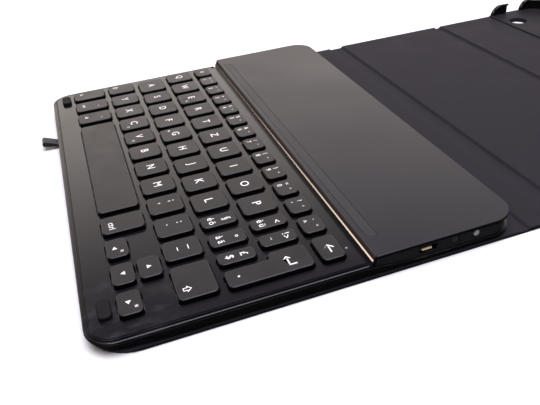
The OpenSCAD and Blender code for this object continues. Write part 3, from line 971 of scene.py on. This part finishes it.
def print_marks(shape, low, high, marks, height, rise):
    """Adds a key's marks to a shape: each is its glyph scaled to its height and laid flat
    on the key's top, sunk in as deep as it stands out. Places are shares of four fifths of
    the key's half width and half depth."""
    middle, half = (low + high) / 2, (high - low) / 2 * 0.8
    for text, right, up, share in marks:
        points, faces = glyph(text)
        place = (middle[0] + right * half[0], middle[1] + up * half[1], high[2])
        shape.add(points * (height * share, height * share, 2 * rise) + place, faces)


class CASE_OT_print(bpy.types.Operator):
    """White marks on the keys, as thin raised ink: the letters of a common layout and
    plain generic signs."""
    bl_idname = "case.print"
    bl_label = "Key marks"

    def execute(self, context):
        height, rise = size(context, "print_height"), size(context, "print_rise")
        ink = moulded("key_ink", context.scene.case_colours.ink, 0.5, grain=0.3, depth=0.003,
                      patch=10, change=0.05)
        for node in KEY_NODES:
            letter = node.removeprefix("key_")
            marks = MARKS.get(node, [(letter.upper(), 0, 0, 1)] if len(letter) == 1 else [])
            if marks:
                shape = Shape()
                print_marks(shape, *box_mm(node), marks, height, rise)
                ride_on(make_piece("marks_" + letter, shape, ink), body_of(node))
        rows = [("number_row_keys", [number_marks(label) for label in NUMBER_ROW]),
                ("symbol_keys", SYMBOLS)]
        for node, labels in rows:
            shape = Shape()
            for (low, high), marks in zip(islands(node), labels, strict=True):
                print_marks(shape, low, high, marks, height, rise)
            name = "marks_" + node.removesuffix("_keys")
            ride_on(make_piece(name, shape, ink), body_of(node))
        return {"FINISHED"}


FOLD_RADIUS = 0.4  # radius of the bead that each fold turns about, in millimetres

# Edge of a cover panel: (inset in millimetres, share of the panel's thickness)
PANEL_EDGE = [(0.9, 0.0), (0.35, 0.06), (0.08, 0.22), (0.0, 0.45), (0.06, 0.68), (0.3, 0.88),
              (0.75, 0.98), (1.4, 1.0)]


def cover_height(y):
    """Thickness of the folio at y. It is thin fabric at the folds, and over each board it
    rises to the panel's thickness with a soft shoulder on each side."""
    spine_low, spine_high = box_mm("spine_panel")
    lower_low, lower_high = box_mm("lower_cover_skin")
    thin, shoulder = 2 * FOLD_RADIUS, 1.6
    # (start, end, height, width of the shoulders) of the skin under the tray and the boards
    boards = [
        (-np.inf, 187.2, 1.2, 1.2),
        (spine_low[1] + 1.7, spine_high[1] - 4.4, spine_high[2], shoulder),
        (lower_low[1] + 3.1, lower_high[1] - 1.9, lower_high[2], shoulder),
        (lower_high[1] + 1.1, np.inf, COVER_HIGH[2], shoulder),
    ]
    heights = [thin + (top - thin) * smooth((y - start) / edge) * smooth((end - y) / edge)
               for start, end, top, edge in boards]
    return np.max(heights, axis=0)


def cover_strip(name, start, end, material):
    """A stretch of the folio from start to end: at each y, a closed loop runs round the
    panel's edge profile on both sides, scaled to the thickness there. Rows stand 0.25 mm
    apart where the thickness changes and up to 4 mm apart on flat panels."""
    step, flat_step = 0.25, 4
    rows = np.arange(start, end + 0.01, step)
    height = cover_height(rows)
    bends = abs(np.diff(height)) > 1e-4
    keep = np.r_[True, bends] | np.r_[bends, True]
    keep |= np.arange(len(rows)) % round(flat_step / step) == 0
    rows, height = rows[keep], height[keep]
    inset, share = np.array(PANEL_EDGE).T
    x = np.r_[COVER_LOW[0] + inset, (COVER_HIGH[0] - inset)[::-1]]
    share = np.r_[share, share[::-1]]
    shape = Shape()
    shape.tube(points_of(x, rows[:, None], height[:, None] * share))
    return make_piece(name, shape, material, plan_uv=True, sharp=50)


class CASE_OT_folio(bpy.types.Operator):
    """Folio cover: fabric over stiff boards, thin at its three folds."""
    bl_idname = "case.folio"
    bl_label = "Folio cover"

    def execute(self, context):
        colours = context.scene.case_colours
        fabric = coated_fabric(colours.fabric, colours.fabric_light, size(context, "thread"))
        spine_fold, cover_fold, mid_fold = (
            box_mm(node)[1][1] - FOLD_RADIUS
            for node in ("base_cover", "spine_panel", "lower_cover_skin"))
        base_end = spine_fold - 2
        spine_end = spine_fold + 10.5  # near the middle of the spine
        lower_end = 257                # near the middle of the lower cover
        holder_start = box_mm("tablet_holder")[0][1]
        # (name, start, end, body before and after its fold, the fold's y, how far the bend
        # reaches before and after it, CAD nodes that the strip stands for)
        strips = [
            ("folio_spine_fold", base_end, spine_end, "tray", "spine", spine_fold, 1.2, 1.2,
             ["spine_panel"]),
            ("folio_cover_fold", spine_end, lower_end, "spine", "lower_cover", cover_fold, 3.7,
             3.7, ["lower_cover_skin", "lower_cover_board"]),
            ("folio_middle_fold", lower_end, holder_start, "lower_cover", "upper_cover", mid_fold,
             1.6, 1.6, ["upper_cover_skin", "upper_cover_board"]),
        ]
        for name, start, end, first, second, fold, before, after, nodes in strips:
            piece = cover_strip(name, start, end, fabric)
            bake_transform(piece)
            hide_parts(*nodes)
        self.base(fabric, base_end)
        self.holder_panel(fabric, holder_start)
        return {"FINISHED"}

    def base(self, fabric, end):
        """Fabric skin under the tray, rounded at its two front corners."""
        height = box_mm("bottom_shell")[0][2]
        radius = TRAY_RADIUS + 8
        shape = Shape()
        block(shape, rectangle(COVER_LOW, (COVER_HIGH[0], end)), [radius, radius, 0, 0],
              [(d, share * height) for d, share in PANEL_EDGE], sides=[1, 1, 0, 1], steps=10)
        stand_for(make_piece("folio_base", shape, fabric, plan_uv=True), "cover_fabric",
                  "base_cover")

    def holder_panel(self, fabric, start):
        """Far end of the cover, rounded at its two corners, with the camera's hole."""
        thick, bevel = COVER_HIGH[2], 0.3
        shape = Shape()
        edge = wall(shape, rectangle((COVER_LOW[0], start), COVER_HIGH),
                    [0, 0, UPPER_RADIUS, UPPER_RADIUS],
                    [(d, share * thick) for d, share in PANEL_EDGE], sides=[0, 1, 1, 1], steps=12)
        hole = camera_wall(shape, [(-bevel, 0), (0, bevel), (0, thick - bevel), (-bevel, thick)])
        pierced(shape, edge, [hole])
        ride_on(make_piece("folio_far_panel", shape, fabric, plan_uv=True), "upper_cover")


def camera_wall(shape, profile):
    """Wall of the camera's hole, from a profile of (inset, height) pairs. The points of the
    holder's plate that lie well inside its edges are the hole's rim, and their box gives
    the hole's centre and radius."""
    points = node_triangles("tablet_holder").reshape(-1, 3)[:, :2]
    low, high = box_mm("tablet_holder")
    inside = (points > low[:2] + (8, 3)) & (points < (low[0] + 40, high[1] - 25))
    rim = points[inside.all(1)]
    centre, radius = (rim.min(0) + rim.max(0)) / 2, np.ptp(rim[:, 0]) / 2
    return wall(shape, rectangle(centre - radius, centre + radius), radius, profile, steps=12)


class CASE_OT_holder(bpy.types.Operator):
    """Plastic tablet holder: a thin plate with the camera's hole, two side clips and two
    corner clips that hook over the tablet."""
    bl_idname = "case.holder"
    bl_label = "Tablet holder"

    def execute(self, context):
        gloss = moulded("holder_gloss_abs", context.scene.case_colours.holder, 0.22, grain=1.5,
                        depth=0.004, patch=30, change=0.04)
        self.plate(context)
        low, high = box_mm("tablet_holder")
        base, top = low[2] + 0.4, high[2]
        thick, reach, lip = 1.6, 3.2, 1.2  # of the wall, of the hook, and the hook's thickness
        section = [(0.3, base), (0, base + 0.6), (0, top - 1.4), *fillet(1.2, top),
                   (reach - 0.5, top), (reach - 0.1, top - 0.3), (reach, top - 0.6),
                   (reach - 0.2, top - lip), (thick + 0.5, top - lip - 0.1),
                   (thick, top - lip - 0.6), (thick, base)]
        shape = Shape()
        for mirrored in (False, True):
            self.clip(shape, section, self.side_path, mirrored, count=20, ramp=7.5)
            self.clip(shape, section, self.corner_path, mirrored, count=60, ramp=5)
        ride_on(make_piece("holder_clips", shape, gloss, sharp=40), "upper_cover")
        return {"FINISHED"}

    def plate(self, context):
        """Thin plate under the tablet, in the fabric's colour."""
        low, high = box_mm("tablet_holder")
        floor, top = COVER_HIGH[2] - 0.2, COVER_HIGH[2] + 1
        far = UPPER_RADIUS - 1
        matt = moulded("holder_matt_plate", context.scene.case_colours.fabric, 0.64, grain=0.6,
                       depth=0.01, patch=50, change=0.05, Specular_IOR_Level=0.15)
        shape = Shape()
        edge = wall(shape, rectangle(low, high), [0.6, 0.6, far, far],
                    [(0, floor), *fillet(0.5, top), (0.6, top)], steps=10)
        hole = camera_wall(shape, [(0, floor), (0, top - 0.3), (-0.3, top)])
        pierced(shape, edge, [hole])
        stand_for(make_piece("holder_plate", shape, matt), "holder_plastic", "tablet_holder")

    def side_path(self, inset):
        """Path of the left side clip, away from the typist, moved in by inset."""
        low = box_mm("tablet_holder")[0]
        start, end, count = low[1] + 1.5, low[1] + 15.5, 30
        return np.stack([np.full(count, low[0] + inset), np.linspace(start, end, count)], 1)

    def corner_path(self, inset):
        """Path of the left corner clip: up the side, round the corner and along the far
        edge, moved in by inset."""
        low, high = box_mm("tablet_holder")
        start, end = high[1] - 18, low[0] + 26
        corners = [(end, start), (end, high[1]), (low[0], high[1]), (low[0], start)]
        ring = outline(corners, [0, 0, UPPER_RADIUS - 1, 0], inset, sides=[0, 1, 1, 0], steps=14)
        return np.concatenate([ring[1][-1:], ring[2], ring[3][:1]])[::-1]

    def clip(self, shape, section, path, mirrored, count, ramp):
        """One clip of count sections along a path. It rises from the plate on a quarter
        circle of the given ramp in millimetres and keeps its full height from there on."""
        low, high = box_mm("tablet_holder")
        at = resample(path(0), count)

        def path_at(inset):
            points = take(path(inset), at)
            if mirrored:
                points[:, 0] = low[0] + high[0] - points[:, 0]
            return points

        rise = np.sqrt(1 - (1 - np.clip(distances(path_at(0)) / ramp, 0.02, 1)) ** 2)
        rail(shape, path_at, section, rise)


class CASE_OT_small_parts(bpy.types.Operator):
    """Rubber bumpers on the deck, the pull tab at the front edge, and the charging socket
    and the two round buttons on the right side."""
    bl_idname = "case.small_parts"
    bl_label = "Bumpers, tab, socket and buttons"

    def execute(self, context):
        colours = context.scene.case_colours
        rubber = moulded("bumper_silicone", colours.rubber, 0.7, grain=0.4, depth=0.01, patch=8,
                         change=0.06, Specular_IOR_Level=0.2)
        shape = Shape()
        for low, high in islands("front_bumpers"):
            top = high[2]
            block(shape, rectangle(low, high), 2.2,
                  [(0, low[2]), *fillet(0.7, top), (0.9, top), (2, top - 0.06)], steps=8)
        stand_for(make_piece("deck_bumpers", shape, rubber), "bumper_rubber", "front_bumpers")
        self.tab(colours.tab)
        for node, shade_name, colour, roughness in (
                ("connect_button", "dark", linear("#2b2a2c"), 0.25),
                ("power_button", "light", colours.power, 0.35)):
            plastic = moulded("button_%s_abs" % shade_name, colour, roughness, grain=0.8,
                              depth=0.004, patch=5, change=0.04)
            self.button(node, node + "_cap", plastic, "button_" + shade_name)
        self.socket()
        return {"FINISHED"}

    def socket(self):
        """Charging socket: a dark rounded sleeve, open to the right, and in it a plated
        contact bar. Each outline lies in the y-z plane and is carried along x."""
        low, high = box_mm("usb_socket")
        thick, floor = 0.3, 0.4  # of the sleeve's wall, and of its closed left end
        sleeve, bar = Shape(), Shape()
        corners = rectangle(low[1:], high[1:])
        rings = [outline(corners, 1.1, d).reshape(-1, 2) for d in (0, 0, thick, thick)]
        x = [low[0], high[0], high[0], low[0] + floor]
        sleeve.tube(np.stack([np.c_[np.full(len(ring), at), ring] for at, ring in zip(x, rings)]))
        bar_low, bar_high = low + (floor, 1.2, 0.5), high - (0.3, 1.8, 1.3)
        block(bar, rectangle(bar_low, bar_high), 0.15,
              [(0, bar_low[2]), (0, bar_high[2] - 0.1), (0.1, bar_high[2])])
        nickel = metal("socket_dark_nickel", linear("#4a4744"), 0.35, spacing=0.5,
                       stretch=(0.2, 1, 1), depth=0.001)
        tin = moulded("socket_plated_tin", linear("#e6d5b0"), 0.35, grain=0.5, depth=0.002,
                      patch=3, change=0.05, Metallic=0.2)
        stand_for(make_piece("socket_sleeve", sleeve, nickel), "socket_metal", "usb_socket")
        ride_on(make_piece("socket_contact", bar, tin), "tray")

    def tab(self, colour):
        """Loop of tape: a teardrop outline in the y-z plane and the same outline further in
        by the tape's thickness, both carried across the tape's width."""
        low, high = box_mm("pull_tab")
        lift = 1.8  # the soft loop curls up past its plain CAD shape
        root, thick = 1.5, 0.55
        corners = [(low[1], low[2] + lift), (high[1], low[2]), (high[1], low[2] + root),
                   (low[1], high[2] + lift)]
        rings = [outline(corners, [1.2, 0.1, 0.1, 1.5], d, steps=8).reshape(-1, 2)
                 for d in (0, thick)]
        across = np.linspace(low[0], high[0], 5)[:, None]
        skins = [points_of(across, *ring.T) for ring in rings]
        shape = Shape()
        for grid in skins:
            shape.grid(grid, round_columns=True)
        for end in (0, -1):
            shape.grid(np.stack([skins[0][end], skins[1][end]]), round_columns=True)
        stand_for(make_piece("pull_loop", shape, webbing(colour)), "tab_fabric", "pull_tab")

    def button(self, node, name, material, slot):
        """A round button: its profile of (distance from the axis, x) turned about the
        button's own axis, with a rounded edge and a slightly domed face."""
        low, high = box_mm(node)
        radius, edge, dome = (high - low)[1] / 2, 0.35, 0.15
        middle = (low + high) / 2
        a = np.linspace(0, math.pi / 2, 5)
        r = np.r_[radius, radius - edge * (1 - np.cos(a)), radius * 0.6, radius * 0.25][:, None]
        x = np.r_[low[0], high[0] - dome - edge * (1 - np.sin(a)), high[0] - 0.04, high[0]]
        turn = np.linspace(0, 2 * math.pi, 32, endpoint=False)
        shape = Shape()
        shape.tube(points_of(x[:, None], middle[1] + r * np.cos(turn), middle[2] + r * np.sin(turn)))
        stand_for(make_piece(name, shape, material), slot, node)


class CASE_OT_cad_finishes(bpy.types.Operator):
    """Finishes of the CAD nodes that are shown as they are: the status light and what is
    inside the tray."""
    bl_idname = "case.cad_finishes"
    bl_label = "Finishes of the frame"

    def execute(self, context):
        finishes = {
            "status_light": moulded("light_lens", linear("#83827f"), 0.3, grain=0.5,
                                    depth=0.002, patch=1, change=0.05),
            "slot_magnets": metal("magnet_nickel", linear("#b9bbbd"), 0.22, spacing=1),
            "support_plate": metal("plate_rolled_steel", linear("#9a9c9e"), 0.35, spacing=0.8,
                                   stretch=(0.05, 1, 1)),
            "key_membrane": moulded("dome_silicone", linear("#b9b8b0"), 0.6, grain=0.8,
                                    depth=0.01, patch=12, change=0.06),
            "circuit_board": circuit_laminate(),
            "battery": metal("cell_foil", linear("#a7abb1"), 0.4, spacing=4,
                             stretch=(1, 0.4, 1)),
        }
        for node, material in finishes.items():
            mesh = frame["nodes"][node].data
            mesh.materials.clear()
            mesh.materials.append(material)
        return {"FINISHED"}


class CASE_OT_stage(bpy.types.Operator):
    """Pale floor, surroundings, a soft light overhead and the camera."""
    bl_idname = "case.stage"
    bl_label = "Stage"

    def execute(self, context):
        self.floor()
        self.surroundings(context)
        self.light(context)
        self.camera(context)
        context.scene.view_settings.view_transform = "Standard"
        return {"FINISHED"}

    def floor(self):
        """A flat square floor with a faint paper grain, just under the case."""
        half, drop = 40000, 0.05
        shape = Shape()
        shape.cap(level(np.array(rectangle((-half, -half), (half, half))), -drop))
        material, tree, shader = finish("floor_paper", linear("#f4f4f2"), 0.8)
        paper = blend_colours(tree, noise(tree, 3, detail=4), linear("#f0f0ee"), linear("#f8f8f6"))
        feed(tree, shader, Base_Color=paper)
        floor = make_piece("floor", shape, material)
        floor.visible_glossy = False

    def surroundings(self, context):
        """Surroundings: a bright band low over the far left, dim elsewhere. Brightness is a
        ramp of the direction's height, times a ramp of how far it points to the left."""
        world = bpy.data.worlds.new("studio")
        world.use_nodes = True
        tree = world.node_tree
        tree.nodes.clear()
        direction = add(tree, "TexCoord").outputs["Generated"]
        axes = add(tree, "SeparateXYZ", {"Vector": direction}).outputs
        ramp = add(tree, "ValToRGB", {"Fac": axes["Z"]})
        # (sine of the height above the horizon, colour)
        stops = [(0.0, "#2a2420"), (0.13, "#463d36"), (0.165, "#fff0e4"), (0.44, "#f3eae4"),
                 (0.54, "#cbc2be"), (0.64, "#5f5b63"), (1.0, "#4c4a56")]
        elements = ramp.color_ramp.elements
        while len(elements) < len(stops):
            elements.new(0.5)
        for element, (at, code) in zip(elements, stops):
            element.position = at
            element.color = (*linear(code), 1)
        left = spread(tree, axes["X"], 1, 0.16, start=-0.8, end=-0.05)
        strength = calculate(tree, "MULTIPLY", left, context.scene.case_stage.sky)
        back = add(tree, "Background", {"Color": ramp.outputs[0], "Strength": strength})
        add(tree, "OutputWorld", {"Surface": back.outputs[0]})
        context.scene.world = world

    def light(self, context):
        """A soft square light high above the case, which isn't seen itself."""
        place, aim = Vector((0.15, 0.1, 1.3)), Vector((0, 0.1, 0))
        data = bpy.data.lights.new("overhead", "AREA")
        data.size = 1.2
        data.energy = context.scene.case_stage.lamp
        data.color = linear("#f4f2ff")
        lamp = bpy.data.objects.new("overhead", data)
        lamp.location = place
        lamp.rotation_euler = (aim - place).to_track_quat("-Z", "Y").to_euler()
        lamp.visible_camera = False
        context.scene.collection.objects.link(lamp)

    def camera(self, context):
        """Camera at the typist's right front, rolled slightly about its own axis."""
        settings = context.scene.case_stage
        data = bpy.data.cameras.new("camera")
        data.lens = settings.lens
        data.clip_start = 0.01
        camera = bpy.data.objects.new("camera", data)
        camera.location = settings.camera
        aim = (Vector(settings.target) - Vector(settings.camera)).to_track_quat("-Z", "Y")
        camera.rotation_mode = "QUATERNION"
        camera.rotation_quaternion = aim @ Quaternion((0, 0, 1), settings.roll)
        context.scene.collection.objects.link(camera)
        context.scene.camera = camera


OPERATORS = [
    CASE_OT_folio, CASE_OT_deck, CASE_OT_rear_cover, CASE_OT_bevel, CASE_OT_side_band,
    CASE_OT_keys, CASE_OT_print, CASE_OT_holder, CASE_OT_small_parts, CASE_OT_cad_finishes,
    CASE_OT_stage,
]


class CASE_PT_sidebar(bpy.types.Panel):
    """Lists the steps that build the case."""
    bl_idname = "CASE_PT_sidebar"
    bl_label = "Keyboard Case"
    bl_space_type = "VIEW_3D"
    bl_region_type = "UI"
    bl_category = "Keyboard Case"

    def draw(self, context):
        for operator in OPERATORS:
            self.layout.operator(operator.bl_idname)


CLASSES = [CaseSizes, CaseColours, StageSettings, *OPERATORS, CASE_PT_sidebar]


def register():
    """Registers the classes and hangs the settings on the scene."""
    for cls in CLASSES:
        bpy.utils.register_class(cls)
    bpy.types.Scene.case_sizes = bpy.props.PointerProperty(type=CaseSizes)
    bpy.types.Scene.case_colours = bpy.props.PointerProperty(type=CaseColours)
    bpy.types.Scene.case_stage = bpy.props.PointerProperty(type=StageSettings)


def unregister():
    """Takes the settings and the classes away again."""
    for name in ("case_sizes", "case_colours", "case_stage"):
        delattr(bpy.types.Scene, name)
    for cls in reversed(CLASSES):
        bpy.utils.unregister_class(cls)


def main():
    """Builds every piece."""
    register()
    for operator in OPERATORS:
        group, name = operator.bl_idname.split(".")
        getattr(getattr(bpy.ops, group), name)()


if __name__ == "__main__":
    main()
